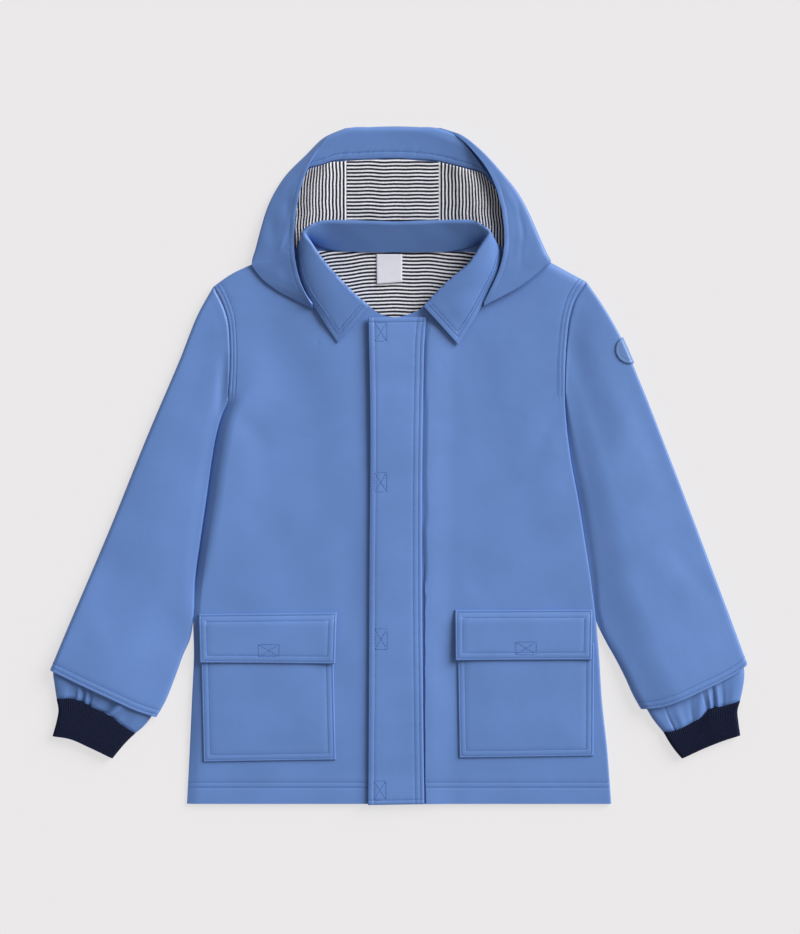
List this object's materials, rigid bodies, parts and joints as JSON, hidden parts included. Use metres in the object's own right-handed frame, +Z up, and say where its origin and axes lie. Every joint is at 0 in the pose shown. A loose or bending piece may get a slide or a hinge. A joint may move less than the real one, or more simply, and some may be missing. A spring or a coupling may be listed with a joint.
{
  "type": "kids raincoat",
  "caption": "Child's hooded coated raincoat laid flat, front up: collar, placket flap, flap pockets, striped hood lining and dark rib cuffs.",
  "frame": {"origin": "on the surface it lies on, under the middle of the coat's footprint", "axes": "+Z up from the surface, +Y from the hem to the hood, +X towards the wearer's left sleeve"},
  "size_m": [0.6608, 0.644, 0.0257],
  "materials": {
    "coated_fabric": "matte rubbery coating with fine stitching",
    "striped_jersey": "off-white and navy striped cotton jersey",
    "rib_knit": "fine dark navy rib knit",
    "label_tape": "plain white woven tape",
    "badge_rubber": "satin soft rubber"
  },
  "bodies": {
    "root": {"back": "coated_fabric", "front_right": "coated_fabric", "front_left": "coated_fabric", "sleeve_right": "coated_fabric", "sleeve_left": "coated_fabric", "inner_cuff_right": "coated_fabric", "inner_cuff_left": "coated_fabric", "rib_cuff_right": "rib_knit", "rib_cuff_left": "rib_knit", "placket_flap": "coated_fabric", "pocket_right": "coated_fabric", "pocket_left": "coated_fabric", "pocket_flap_right": "coated_fabric", "pocket_flap_left": "coated_fabric", "hood_centre": "coated_fabric", "hood_side_right": "coated_fabric", "hood_side_left": "coated_fabric", "hood_facing": "coated_fabric", "hood_lining_centre": "striped_jersey", "hood_lining_right": "striped_jersey", "hood_lining_left": "striped_jersey", "collar": "coated_fabric", "back_lining": "striped_jersey", "neck_label": "label_tape", "badge": "badge_rubber"}
  },
  "joints": []
}
